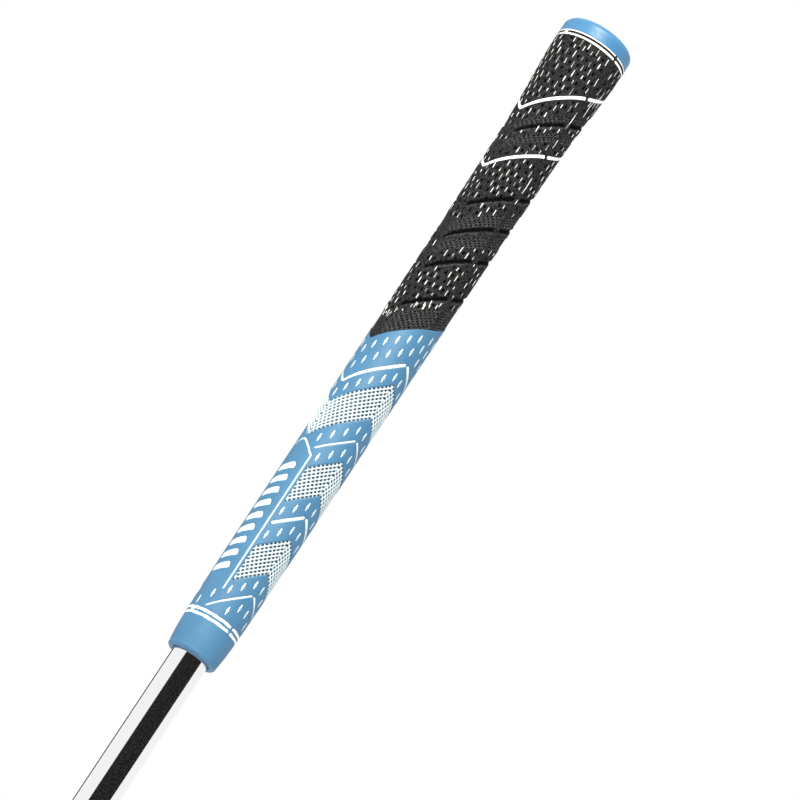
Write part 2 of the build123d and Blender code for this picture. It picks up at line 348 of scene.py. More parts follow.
def upper_surface(azimuth, station):
    """Depth of the upper sleeve's surface below the outline, and its relief for the material, which
    paints shade into hollows and highlights onto raised lips and pit-band lands.
    """
    hoop = degree_length(station)
    open_seam = gap_at_seam(azimuth, station)
    plain_seam = smooth((np.abs(from_seam(azimuth)) * hoop - SEAM_PLAIN) / 0.5)
    # Relief for painted light: the dimples are darkened as painted shade.
    relief = plain_seam * dimples(azimuth, station)
    depth = DIMPLE_DEPTH * relief
    for front_station, height, rows in PIT_BANDS:
        rise = station - vee(front_station, azimuth)
        inside = between(rise, 0.0, height, 0.3) * plain_seam
        inside = inside * smooth((np.abs(azimuth) - BAND_FRONT_END) / 10.0)
        pitch = height / rows
        pits = staggered(azimuth * hoop, rise - 0.5 * pitch, PIT_PITCH, pitch, PIT_SIZE)
        clear = 1.0 - between(rise, -0.6, height + 0.6, 0.3)
        depth = depth * clear + inside * (BAND_DEPTH + PIT_DEPTH * pits)
        # Pits darkened as painted shade; the lands between them lightened as a painted highlight.
        relief = relief * clear + inside * (2.0 * pits - 1.0)
    for front_station in UPPER_GROOVES:
        offset = slanted(station - vee(front_station, azimuth), UPPER_SLOPE)
        ends = smooth((np.abs(azimuth) - GROOVE_FRONT_END) / 6.0)
        ends = ends * plain_seam
        share = ends * smooth(1.4 - 2.0 * np.abs(offset) / UPPER_GROOVE_WIDTH)
        lip = ends * np.exp(-(((offset + LIP_OFFSET) / LIP_WIDTH) ** 2))
        depth = np.maximum(depth * (1.0 - share), UPPER_GROOVE_DEPTH * share) - GROOVE_LIP * lip
        # Grooves darkened as painted shade, and the lip under each lightened as a painted highlight.
        relief = relief * (1.0 - share) + GROOVE_PAINTED_SHADE * share - lip
    painted = np.zeros_like(depth)
    for front_station, width in UPPER_LINES:
        offset = slanted(station - vee(front_station, azimuth), UPPER_SLOPE)
        clear = 1.0 - smooth((1.6 - np.abs(offset)) / 0.5)
        depth, relief = depth * clear, relief * clear
        painted = np.maximum(painted, channel(offset, width) * open_seam)
    low, high = CAP_RINGS[0]
    clear = 1.0 - smooth((station - (low - 0.9)) / 0.4)
    depth, relief = depth * clear, relief * clear
    painted = np.maximum(painted, channel(station - 0.5 * (low + high), high - low) * open_seam)
    edge_ring = smooth((station - CAP_RINGS[1][0]) / GROOVE_WALL + 0.5) * open_seam
    bridge = channel(azimuth * hoop, BRIDGE_WIDTH) * between(station, high, CAP_RINGS[1][0], 0.2)
    painted = np.maximum(painted, np.maximum(edge_ring, bridge))
    depth = np.maximum(depth, GROOVE_DEPTH * painted) - seam_ridge(azimuth, station) * (1.0 - painted)
    return depth, np.clip(relief, -1.0, 1.0)


# Mesh building ----------------------------------------------------------------------------------


def grid_faces(rows, columns, closed):
    """Quads of a grid of points counted row by row, closed round the columns if asked."""
    across = columns if closed else columns - 1
    row, column = np.meshgrid(np.arange(rows - 1), np.arange(across), indexing="ij")
    after = (column + 1) % columns
    corners = [row * columns + column, row * columns + after]
    corners += [(row + 1) * columns + after, (row + 1) * columns + column]
    return np.stack(corners, axis=-1).reshape(-1, 4)


def join(parts):
    """One point array and one face list from several (points, faces) pairs."""
    points, faces, count = [], [], 0
    for part_points, part_faces in parts:
        part_points = np.asarray(part_points).reshape(-1, 3)
        points.append(part_points)
        faces.append(np.asarray(part_faces) + count)
        count += len(part_points)
    return np.concatenate(points), np.concatenate(faces)


def piece(name, points, faces, material, slot, nodes):
    """Finished piece of the object: smooth shaded, on the grip's body, standing for its CAD nodes."""
    mesh = bpy.data.meshes.new(name)
    mesh.from_pydata(np.asarray(points).reshape(-1, 3).tolist(), [], np.asarray(faces).tolist())
    mesh.materials.append(material)
    mesh.polygons.foreach_set("use_smooth", [True] * len(mesh.polygons))
    mesh.update()
    obj = bpy.data.objects.new(name, mesh)
    bpy.context.scene.collection.objects.link(obj)
    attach(obj, "root")
    if nodes:
        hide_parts(*nodes)
    return obj


def store_relief(obj, relief):
    """Keep each point's relief for the material: 1 in the deepest hollows and below 0 on raised lips. On
    the rubber it sets painted shade in hollows and a painted highlight on lips; on the texture sheets it
    marks where bare rubber shows.
    """
    attribute = obj.data.attributes.new("relief", "FLOAT", "POINT")
    attribute.data.foreach_set("value", relief.ravel().astype(np.float32))


def lathe(profile, segments):
    """Points and faces of a closed profile of (radius, station) corners turned about the axis."""
    azimuth = np.arange(segments) * 360.0 / segments
    radius, station = np.array(profile + [profile[0]], float).T
    points = place(azimuth[None, :], station[:, None], radius[:, None])
    return points, grid_faces(len(radius), segments, True)


def arc(centre, radius, first, last, count):
    """(radius, station) points along a circular arc, angles counted from outwards to upwards."""
    angles = np.radians(np.linspace(first, last, count))
    return [(centre[0] + radius * math.cos(t), centre[1] + radius * math.sin(t)) for t in angles]


def strip(azimuth, station, width, surface_depth=PAINT_RECESS):
    """Paint along a path on the grip, its edges sunk into the groove's walls, with rounded ends."""
    hoop = degree_length(station)
    step_across = np.gradient(azimuth) * hoop
    step_up = np.gradient(station)
    length = np.hypot(step_across, step_up)
    travelled = np.concatenate([[0.0], np.cumsum(0.5 * (length[1:] + length[:-1]))])
    half = 0.5 * width + GROOVE_WALL
    to_end = np.minimum(travelled, travelled[-1] - travelled)
    taper = np.sqrt(np.clip(1.0 - (1.0 - np.clip(to_end / half, 0.0, 1.0)) ** 2, 0.0, 1.0))
    side = np.array([-1.0, -1.0, -0.8, -0.4, 0.0, 0.4, 0.8, 1.0, 1.0])
    sunk = np.array([GROOVE_DEPTH, 0.03, 0.01, 0.0, 0.0, 0.0, 0.01, 0.03, GROOVE_DEPTH])
    offset = half * taper[:, None] * side[None, :]
    normal_across = -(step_up / length)[:, None]
    normal_up = (step_across / length)[:, None]
    azimuths = azimuth[:, None] + offset * normal_across / hoop[:, None]
    stations = station[:, None] + offset * normal_up
    radii = outline(stations) - surface_depth - sunk[None, :]
    return place(azimuths, stations, radii), grid_faces(len(azimuth), len(side), False)


def ramp(first, last, step):
    """Evenly spaced values from first to last."""
    return np.linspace(first, last, max(2, int(round(abs(last - first) / step)) + 1))


def mirrored(azimuth, station, width):
    """A strip on each side of the front meridian."""
    return [strip(azimuth, station, width), strip(-azimuth[::-1], station[::-1], width)]


def gap_degrees(station):
    """Azimuth covered by half the gap that the mould seam leaves in a painted line."""
    return SEAM_GAP / degree_length(station)


# Materials --------------------------------------------------------------------------------------

# Rubber between the painted threads of a texture panel
BARE_HOLLOW = (0.095, 0.155, 0.215)


class Nodes:
    """A material's node tree, with short calls for the nodes that the finishes share."""

    def __init__(self, name):
        self.material = bpy.data.materials.new(name)
        self.material.use_nodes = True
        self.tree = self.material.node_tree
        self.shader = self.tree.nodes["Principled BSDF"]

    def add(self, kind, **values):
        """New node, with values for its inputs or its settings."""
        node = self.tree.nodes.new(kind)
        for key, value in values.items():
            if key in node.inputs:
                node.inputs[key].default_value = value
            else:
                setattr(node, key, value)
        return node

    def link(self, source, target):
        """Join an output to an input."""
        self.tree.links.new(source, target)

    def skin(self, hoop_scale, length_scale):
        """Coordinates laid on the grip: hoop distance and station, each scaled."""
        position = self.add("ShaderNodeTexCoord").outputs["Object"]
        split = self.add("ShaderNodeSeparateXYZ")
        self.link(position, split.inputs[0])
        angle = self.add("ShaderNodeMath", operation="ARCTAN2")
        self.link(split.outputs["X"], angle.inputs[0])
        self.link(split.outputs["Y"], angle.inputs[1])
        hoop = self.add("ShaderNodeMath", operation="MULTIPLY")
        self.link(angle.outputs[0], hoop.inputs[0])
        hoop.inputs[1].default_value = 11.0 * hoop_scale
        length = self.add("ShaderNodeMath", operation="MULTIPLY")
        self.link(split.outputs["Z"], length.inputs[0])
        length.inputs[1].default_value = length_scale / MM
        joined = self.add("ShaderNodeCombineXYZ")
        self.link(hoop.outputs[0], joined.inputs["X"])
        self.link(length.outputs[0], joined.inputs["Y"])
        return joined.outputs[0]

    def noise(self, scale, detail=3.0, vector=None):
        """Noise value; scale counts features per metre unless other coordinates are given."""
        node = self.add("ShaderNodeTexNoise", Scale=scale, Detail=detail)
        if vector is None:
            vector = self.add("ShaderNodeTexCoord").outputs["Object"]
        self.link(vector, node.inputs["Vector"])
        return node.outputs["Fac"]

    def spread(self, value, low, high, start=0.3, end=0.7):
        """Value remapped so that start to end becomes low to high."""
        node = self.add("ShaderNodeMapRange")
        self.link(value, node.inputs["Value"])
        for key, number in (("From Min", start), ("From Max", end), ("To Min", low), ("To Max", high)):
            node.inputs[key].default_value = number
        return node.outputs["Result"]

    def mix(self, factor, first, second):
        """Colour between two colours."""
        node = self.add("ShaderNodeMix", data_type="RGBA")
        self.link(factor, node.inputs["Factor"])
        colour_inputs = [socket for socket in node.inputs if socket.type == "RGBA"]
        colour_inputs[0].default_value = (*first, 1.0)
        colour_inputs[1].default_value = (*second, 1.0)
        return [socket for socket in node.outputs if socket.type == "RGBA"][0]

    def painted_shade_and_highlight(self, colour, low, high):
        """Colour scaled by the piece's relief: times low in the hollows as painted shade and high on
        raised lips as a painted highlight.
        """
        relief = self.add("ShaderNodeAttribute", attribute_name="relief").outputs["Fac"]
        node = self.add("ShaderNodeVectorMath", operation="SCALE")
        self.link(colour, node.inputs[0])
        self.link(self.spread(relief, high, low, -1.0, 1.0), node.inputs["Scale"])
        return node.outputs[0]

    def sunk(self, colour, hollow):
        """Colour that gives way to another one where the piece's relief is a hollow."""
        relief = self.add("ShaderNodeAttribute", attribute_name="relief").outputs["Fac"]
        node = self.add("ShaderNodeMix", data_type="RGBA")
        self.link(relief, node.inputs["Factor"])
        colour_inputs = [socket for socket in node.inputs if socket.type == "RGBA"]
        self.link(colour, colour_inputs[0])
        colour_inputs[1].default_value = (*hollow, 1.0)
        return [socket for socket in node.outputs if socket.type == "RGBA"][0]

    def bump(self, value, strength, distance, after=None):
        """Normal from a bump, distance in metres."""
        node = self.add("ShaderNodeBump", Strength=strength, Distance=distance)
        self.link(value, node.inputs["Height"])
        if after is not None:
            self.link(after, node.inputs["Normal"])
        return node.outputs["Normal"]


def rubber(name, dark, light, roughness, grain):
    """Moulded rubber: faint mottling, a fine grain and slightly uneven sheen, with painted shade in its
    hollows and a painted highlight on raised lips.
    """
    n = Nodes(name)
    mottling = n.spread(n.noise(90.0, 4.0), 0.0, 1.0)
    # Painted shade: the colour drops to a quarter where the relief marks a hollow, and rises to 1.75
    # times on raised lips as a painted highlight.
    n.link(n.painted_shade_and_highlight(n.mix(mottling, dark, light), 0.25, 1.75), n.shader.inputs["Base Color"])
    n.link(n.spread(n.noise(700.0), roughness - 0.06, roughness + 0.06), n.shader.inputs["Roughness"])
    n.shader.inputs["Specular IOR Level"].default_value = 0.5
    coarse = n.bump(n.noise(900.0, 2.0), 0.25, 0.0001)
    n.link(n.bump(n.noise(3200.0, 2.0), grain, 0.00006, coarse), n.shader.inputs["Normal"])
    return n.material


def corded_rubber(name):
    """Black rubber over cotton mesh: short brushed fibres that lie across the weave, with painted shade
    in its hollows and painted highlights on its raised lips and lands.
    """
    n = Nodes(name)
    weave = n.noise(1.0, 4.0, n.skin(2.2, 0.9))
    fibres = n.noise(1.0, 3.0, n.skin(0.9, 3.0))
    both = n.add("ShaderNodeMath", operation="MULTIPLY")
    n.link(weave, both.inputs[0])
    n.link(fibres, both.inputs[1])
    tone = n.spread(both.outputs[0], 0.0, 1.0, 0.16, 0.38)
    colour = n.mix(tone, (0.0006, 0.0006, 0.0007), (0.0175, 0.0178, 0.0205))
    # Painted shade and highlight from the relief: black in the deepest hollows, about twice the plain
    # tone on raised lips and lands.
    n.link(n.painted_shade_and_highlight(colour, 0.0, 4.2), n.shader.inputs["Base Color"])
    n.link(n.spread(weave, 0.6, 0.8), n.shader.inputs["Roughness"])
    # The same relief paints shade into the sheen as well: no specular in the hollows, most on raised
    # lips.
    relief = n.add("ShaderNodeAttribute", attribute_name="relief").outputs["Fac"]
    n.link(n.spread(relief, 0.14, 0.0, -1.0, 1.0), n.shader.inputs["Specular IOR Level"])
    grain = n.bump(fibres, 0.8, 0.00025)
    n.link(n.bump(weave, 0.6, 0.0002, grain), n.shader.inputs["Normal"])
    return n.material


def paint(name, worn, fresh):
    """Matt paint, rolled into the grooves and a little worn."""
    n = Nodes(name)
    wear = n.spread(n.noise(500.0, 4.0), 0.0, 1.0, 0.35, 0.65)
    n.link(n.sunk(n.mix(wear, worn, fresh), BARE_HOLLOW), n.shader.inputs["Base Color"])
    n.link(n.spread(n.noise(1200.0), 0.45, 0.65), n.shader.inputs["Roughness"])
    n.link(n.bump(n.noise(2500.0), 0.3, 0.00005), n.shader.inputs["Normal"])
    return n.material


def cotton(name):
    """Bleached cotton cord: fibres along the strand, soft and fully matt."""
    n = Nodes(name)
    fibres = n.noise(1.0, 4.0, n.skin(9.0, 1.6))
    wear = n.spread(n.noise(260.0, 2.0), 0.0, 1.0, 0.38, 0.6)
    n.link(n.mix(wear, (0.22, 0.218, 0.215), (0.90, 0.895, 0.885)), n.shader.inputs["Base Color"])
    n.link(n.spread(fibres, 0.8, 0.95), n.shader.inputs["Roughness"])
    n.link(n.bump(fibres, 0.7, 0.0001), n.shader.inputs["Normal"])
    return n.material


def chrome(name):
    """Polished chrome plate with faint lengthwise polishing marks."""
    n = Nodes(name)
    marks = n.noise(1.0, 3.0, n.skin(14.0, 0.03))
    n.link(n.mix(n.spread(marks, 0.0, 1.0), (0.84, 0.845, 0.855), (0.925, 0.925, 0.93)),
           n.shader.inputs["Base Color"])
    n.shader.inputs["Metallic"].default_value = 1.0
    n.link(n.spread(marks, 0.03, 0.07), n.shader.inputs["Roughness"])
    n.link(n.bump(marks, 0.03, 0.00001), n.shader.inputs["Normal"])
    return n.material


def crepe_tape(name):
    """Pale masking tape with a crinkled surface."""
    n = Nodes(name)
    crinkle = n.noise(1.0, 4.0, n.skin(0.5, 3.0))
    n.link(n.mix(n.spread(crinkle, 0.0, 1.0), (0.55, 0.46, 0.30), (0.70, 0.62, 0.44)),
           n.shader.inputs["Base Color"])
    n.link(n.spread(crinkle, 0.6, 0.8), n.shader.inputs["Roughness"])
    n.link(n.bump(crinkle, 0.5, 0.0001), n.shader.inputs["Normal"])
    return n.material


# Pieces -----------------------------------------------------------------------------------------


def make_shaft(material):
    """Polished tube with chamfered edges and an open bore."""
    inner = SHAFT_RADIUS - SHAFT_WALL
    low = -BARE_SHAFT
    profile = [(SHAFT_RADIUS - SHAFT_CHAMFER, low), (SHAFT_RADIUS, low + SHAFT_CHAMFER)]
    profile += [(SHAFT_RADIUS, station) for station in np.linspace(low + 1.0, SHAFT_HIDDEN, 60)]
    profile += [(inner, SHAFT_HIDDEN), (inner, low + SHAFT_CHAMFER)]
    profile += [(inner + 0.5 * SHAFT_CHAMFER, low)]
    points, faces = lathe(profile, 192)
    tube = piece("shaft_section", points, faces, material, "chrome_steel", ["shaft_section"])
    sharpen(tube, 30.0)


def sharpen(obj, angle):
    """Shade edges sharper than an angle as real corners."""
    obj.data.set_sharp_from_angle(angle=math.radians(angle))


def make_lower_sleeve(material):
    """Lower hand: rolled lip, grooved surface and an upper edge cut to the border's V."""
    azimuth = np.arange(300) * 1.2 - 180.0
    rows = 400
    share = np.linspace(0.0, 1.0, rows)[:, None]
    border = vee(BORDER_STATION, azimuth)[None, :]
    start = 1.6
    station = start + share * (border - start)
    radius = outline(station) - lower_depth(azimuth[None, :], station)
    outside = place(azimuth[None, :], station, radius)
    lip_centre = (float(outline(np.array(start))) - LIP_RADIUS, LIP_RADIUS)
    bore = SHAFT_RADIUS + 0.12
    lip = [(bore, MOUTH_DEPTH), (bore, 1.0), (bore + 0.2, 0.35), (bore + 0.6, 0.05), (bore + 0.9, 0.0)]
    lip += arc(lip_centre, LIP_RADIUS, -90.0, 0.0, 9)
    lip_radius, lip_station = np.array(lip).T
    inside = place(azimuth[None, :], lip_station[:, None], lip_radius[:, None])
    edge = place(azimuth[None, :], border, radius[-1:] - SLEEVE_EDGE)
    points = np.concatenate([inside, outside, edge])
    faces = grid_faces(len(points), len(azimuth), True)
    sleeve = piece("lower_hand_sleeve", points, faces, material, "blue_rubber", ["lower_hand_sleeve"])
    # Painted shade: the rubber under each texture panel is marked as a full hollow, which the material
    # darkens to a deep navy.
    relief = np.zeros(points.shape[:2])
    for texture in TEXTURES:
        floor = texture_region(azimuth[None, :], station, texture) > 0.99
        relief[len(lip) : len(lip) + rows] += floor
    store_relief(sleeve, relief)


def make_upper_sleeve(material):
    """Upper hand: from the border's V to the cap, with grooves, pits and painted lines."""
    azimuth = np.arange(360) * 1.0 - 180.0
    border = vee(BORDER_STATION, azimuth)[None, :]
    share = np.linspace(0.0, 1.0, 500)[:, None]
    station = border + share * (CAP_STATION - border)
    depth, relief = upper_surface(azimuth[None, :], station)
    radius = outline(station) - depth
    radius[0] -= 0.12
    outside = place(azimuth[None, :], station, radius)
    under = place(azimuth[None, :], border, radius[:1] - SLEEVE_EDGE)
    over = place(azimuth[None, :], np.full((1, len(azimuth)), CAP_STATION), radius[-1:] - SLEEVE_EDGE)
    points = np.concatenate([under, outside, over])
    faces = grid_faces(len(points), len(azimuth), True)
    sleeve = piece("upper_hand_sleeve", points, faces, material, "black_rubber", ["upper_hand_sleeve"])
    store_relief(sleeve, np.concatenate([relief[:1], relief, relief[-1:]]))


def make_cap(material):
    """Butt cap with a rounded rim, a slightly domed top and a vent hole."""
    side = float(outline(np.array(CAP_STATION)))
    top = GRIP_LENGTH - CAP_DOME
    profile = [(side - 2.0, CAP_STATION), (side - 0.12, CAP_STATION), (side, CAP_STATION + 0.12)]
    profile += [(side, station) for station in np.linspace(CAP_STATION + 0.5, top - CAP_EDGE_RADIUS, 6)]
    profile += arc((side - CAP_EDGE_RADIUS, top - CAP_EDGE_RADIUS), CAP_EDGE_RADIUS, 0.0, 90.0, 14)[1:]
    for share in np.linspace(0.1, 1.0, 10):
        radius = (side - CAP_EDGE_RADIUS) * (1.0 - share) + (VENT_RADIUS + 0.15) * share
        profile.append((radius, top + CAP_DOME * (1.0 - (1.0 - share) ** 2)))
    profile += [(VENT_RADIUS, GRIP_LENGTH - 0.15), (VENT_RADIUS, GRIP_LENGTH - VENT_DEPTH)]
    profile += [(side - 2.0, GRIP_LENGTH - VENT_DEPTH)]
    points, faces = lathe(profile, 192)
    piece("butt_cap", points, faces, material, "blue_cap", ["butt_cap"])


def make_lower_lines(material):
    """Painted chevrons of the lower hand."""
    for index, (seam_station, width, front_reach, back_reach) in enumerate(CHEVRONS, start=1):
        gap = gap_degrees(seam_station)
        parts = []
        front = ramp(SEAM_AZIMUTH - front_reach, SEAM_AZIMUTH - gap, 0.8)
        back = ramp(SEAM_AZIMUTH + gap, SEAM_AZIMUTH + back_reach, 0.8)
        if front_reach >= SEAM_AZIMUTH:
            front = ramp(-SEAM_AZIMUTH + gap, SEAM_AZIMUTH - gap, 0.8)
            parts.append(strip(front, rounded_zigzag(seam_station, front), width))
        else:
            parts += mirrored(front, zigzag(seam_station, front), width)
        parts += mirrored(back, zigzag(seam_station, back), width)
        name = f"chevron_paint_{index}"
        piece(name, *join(parts), material, "white_paint", [name])


def rounded_zigzag(seam_station, azimuth):
    """A chevron curve whose low point on the front meridian is rounded."""
    rise = LOWER_SLOPE * degree_length(seam_station)
    turn = np.sqrt(azimuth**2 + VEE_ROUNDING**2) - VEE_ROUNDING
    return seam_station - rise * (SEAM_AZIMUTH - VEE_ROUNDING) + rise * turn


def make_textures(material):
    """White texture panels: sheets whose holes dip below the rubber that shows through them."""
    for index, texture in enumerate(TEXTURES, start=1):
        seam_station, height, front_reach, back_reach = texture
        parts, hollows = [], []
        if front_reach >= SEAM_AZIMUTH:
            spans = [ramp(-180.0, 180.0, 1.0)]
        else:
            first, last = SEAM_AZIMUTH - front_reach - 2.0, SEAM_AZIMUTH + back_reach
            spans = [ramp(first, last, 1.0), -ramp(first, last, 1.0)[::-1]]
        rise = ramp(-1.0, height + 1.0, 0.16)[:, None]
        for azimuth in spans:
            azimuth = azimuth[None, :]
            station = zigzag(seam_station, azimuth) + rise
            distance = hole_distance(azimuth, station, seam_station, height)
            hole = smooth((1.25 - distance) / 0.5)
            inside = texture_region(azimuth, station, texture)
            sunk = PAINT_RECESS + 0.55 * np.maximum(hole, 1.0 - inside)
            points = place(azimuth, station, outline(station) - sunk)
            parts.append((points, grid_faces(rise.size, azimuth.size, False)))
            hollows.append(smooth((1.2 - distance) / 0.35).ravel())
        name = f"texture_paint_{index}"
        sheet = piece(name, *join(parts), material, "white_paint", [name])
        store_relief(sheet, np.concatenate(hollows))


def ring_strips(rings):
    """Painted rings broken at both seams, joined by a bridge on the front meridian."""
    parts = []
    for low, high in rings:
        middle, width = 0.5 * (low + high), high - low
        gap = float(gap_degrees(np.array(middle)))
        for first, last in ((-SEAM_AZIMUTH, SEAM_AZIMUTH), (SEAM_AZIMUTH, 360.0 - SEAM_AZIMUTH)):
            azimuth = ramp(first + gap, last - gap, 1.2)
            parts.append(strip(azimuth, np.full(azimuth.size, middle), width))
    station = ramp(rings[0][0] + 0.2, rings[1][1] - 0.2, 0.2)
    parts.append(strip(np.zeros(station.size), station, BRIDGE_WIDTH))
    return parts


def make_rings(material):
    """Painted rings at the mouth and under the cap."""
    piece("mouth_ring_paint", *join(ring_strips(MOUTH_RINGS)), material, "white_paint",
          ["mouth_ring_paint"])
    piece("cap_ring_paint", *join(ring_strips(CAP_RINGS)), material, "white_paint", ["cap_ring_paint"])


def make_panel(material):
    """Emblem panel: an outline open towards the mouth and a row of plain slanted bars."""
    top = float(panel_top(np.array(PANEL_AZIMUTH)))
    up = ramp(PANEL_START, top, 0.4)
    across = ramp(-PANEL_AZIMUTH, PANEL_AZIMUTH, 0.8)
    azimuth = np.concatenate([np.full(up.size, -PANEL_AZIMUTH), across, np.full(up.size, PANEL_AZIMUTH)])
    station = np.concatenate([up, panel_top(across), up[::-1]])
    keep = np.concatenate([[True], np.hypot(np.diff(azimuth), np.diff(station)) > 1e-6])
    outline_strip = strip(azimuth[keep], station[keep], PANEL_LINE)
    piece("panel_outline_paint", *outline_strip, material, "white_paint", ["panel_outline_paint"])
    bars = []
    slant = math.radians(BAR_SLANT)
    for index in range(BAR_COUNT):
        along = ramp(-0.5 * BAR_SIZE[0] - 0.3, 0.5 * BAR_SIZE[0] + 0.3, 0.3)
        station = BAR_STATION + index * BAR_PITCH + along * math.sin(slant)
        azimuth = along * math.cos(slant) / degree_length(station)
        bars.append(strip(azimuth, station, BAR_SIZE[1]))
    piece("panel_bar_paint", *join(bars), material, "white_paint", ["panel_bar_paint"])


def make_upper_lines(material):
    """The two painted V lines of the upper hand, broken at the seams."""
    for index, (front_station, width) in enumerate(UPPER_LINES, start=1):
        gap = float(gap_degrees(np.array(front_station + 14.0)))
        parts = []
        for first, last in ((-SEAM_AZIMUTH, SEAM_AZIMUTH), (SEAM_AZIMUTH, 360.0 - SEAM_AZIMUTH)):
            azimuth = ramp(first + gap, last - gap, 0.8)
            folded = np.where(azimuth > 180.0, azimuth - 360.0, azimuth)
            parts.append(strip(azimuth, vee(front_station, folded), width))
        name = f"upper_line_paint_{index}"
        piece(name, *join(parts), material, "white_paint", [name])


def falling_dashes(seam_station):
    """Dash positions behind a seam, where each row falls away towards the back meridian."""
    rise = LOWER_SLOPE * float(degree_length(np.array(80.0)))
    places = []
    for distance in np.arange(DASH_FIRST, 180.0 - SEAM_AZIMUTH, DASH_PITCH):
        azimuth = SEAM_AZIMUTH + distance
        station = seam_station - rise * distance
        if station + DASH_CLEARANCE < vee(BORDER_STATION, azimuth):
            places.append((azimuth, station))
    return places


def field_dashes():
    """Diamond lattice between the last chevron's back arms and the border."""
    places = []
    for column in range(int((180.0 - FIELD_START[0]) / FIELD_STEP[0]) + 1):
        azimuth = FIELD_START[0] + column * FIELD_STEP[0]
        low = zigzag(CHEVRONS[-1][0], azimuth) + FIELD_CLEARANCE
        high = vee(BORDER_STATION, azimuth) - FIELD_CLEARANCE
        first = FIELD_START[1] + FIELD_STEP[1] * (column % 2)
        for step in range(-4, 5):
            station = first + 2.0 * FIELD_STEP[1] * step
            if low < station < high:
                places.append((azimuth, station))
    return places


def dash_places():
    """Azimuth and station of every printed dash."""
    rise = LOWER_SLOPE * float(degree_length(np.array(80.0)))
    places = list(LOOSE_DASHES)
    for seam_station, count in SEAM_ROWS:
        for index in range(count):
            distance = DASH_FIRST + index * DASH_PITCH
            places.append((SEAM_AZIMUTH - distance, seam_station - rise * distance))
        places += falling_dashes(seam_station)
    for front_station, row_rise in FRONT_ROWS:
        for index in range(FRONT_COUNT):
            azimuth = FRONT_PITCH * index
            places.append((azimuth, front_station + row_rise * azimuth))
    places += falling_dashes(BACK_ROW)
    places += field_dashes()
    places = [(azimuth, station) for azimuth, station in places if station > DASH_LOWEST]
    return places + [(-azimuth, station) for azimuth, station in places if azimuth > 0.5]


def make_dashes(material):
    """Printed dashes: long flat hexagons, each split by a short slanting slit."""
    length, width = DASH_SIZE
    outer = [(-0.5, 0.22), (-0.16, 0.34), (-0.06, 0.5), (0.06, 0.5), (0.16, 0.34), (0.5, 0.22)]
    outer = np.array(outer)
    outer = np.concatenate([outer, -outer])
    slit = [(-0.13, 0.02), (-0.09, 0.10), (-0.02, 0.14), (0.06, 0.12), (0.12, 0.06), (0.14, 0.0)]
    slit = np.array(slit)
    slit = np.concatenate([slit, -slit])
    rings = np.stack([outer * 1.02, outer, slit]) * np.array([length, width])
    depth = np.array([0.1, -0.035, -0.02])[:, None]
    parts = []
    for azimuth, station in dash_places():
        stations = station + rings[..., 0]
        azimuths = azimuth + rings[..., 1] / degree_length(stations)
        points = place(azimuths, stations, outline(stations) - depth)
        parts.append((points, grid_faces(3, rings.shape[1], True)))
    piece("dash_paint", *join(parts), material, "white_paint", [])


def strand(azimuth, station, length, width, sway):
    """One exposed cotton strand: a slim rounded ridge that wanders a little."""
    count = 9 + 2 * int(length / 2.0)
    t = np.linspace(-1.0, 1.0, count)[:, None]
    side = np.linspace(-1.0, 1.0, 5)[None, :]
    half = 0.5 * width * np.sqrt(1.0 - np.abs(t) ** 3)
    stations = station + 0.5 * length * t + np.zeros_like(side)
    hoop = degree_length(stations)
    azimuths = azimuth + (half * side + sway * np.sin(0.45 * length * t + azimuth)) / hoop
    proud = 0.10 * np.sqrt(1.0 - side**2) * (1.0 - t**6) - 0.03
    return place(azimuths, stations, outline(stations) + proud), grid_faces(count, 5, False)


def on_plain_rubber(azimuth, station, half_length):
    """Whether a strand would lie clear of every groove, painted line, pit band and seam."""
    past = from_seam(azimuth)
    hoop = float(degree_length(np.array(station)))
    if abs(past) * hoop < 1.3:
        return False
    if station + half_length > CAP_RINGS[0][0] - 0.4:
        return False
    if station - half_length < vee(BORDER_STATION, azimuth) + PIT_BANDS[0][1]:
        return False
    margin = 0.35 * half_length
    for front_station in UPPER_GROOVES:
        if abs(station - vee(front_station, azimuth)) < 1.1 + margin:
            return False
    for front_station, _ in UPPER_LINES:
        if abs(station - vee(front_station, azimuth)) < 0.9 + margin:
            return False
    for front_station, height, _ in PIT_BANDS:
        rise = station - vee(front_station, azimuth)
        if -0.2 - margin < rise < height + 0.2 + margin:
            return False
    return True


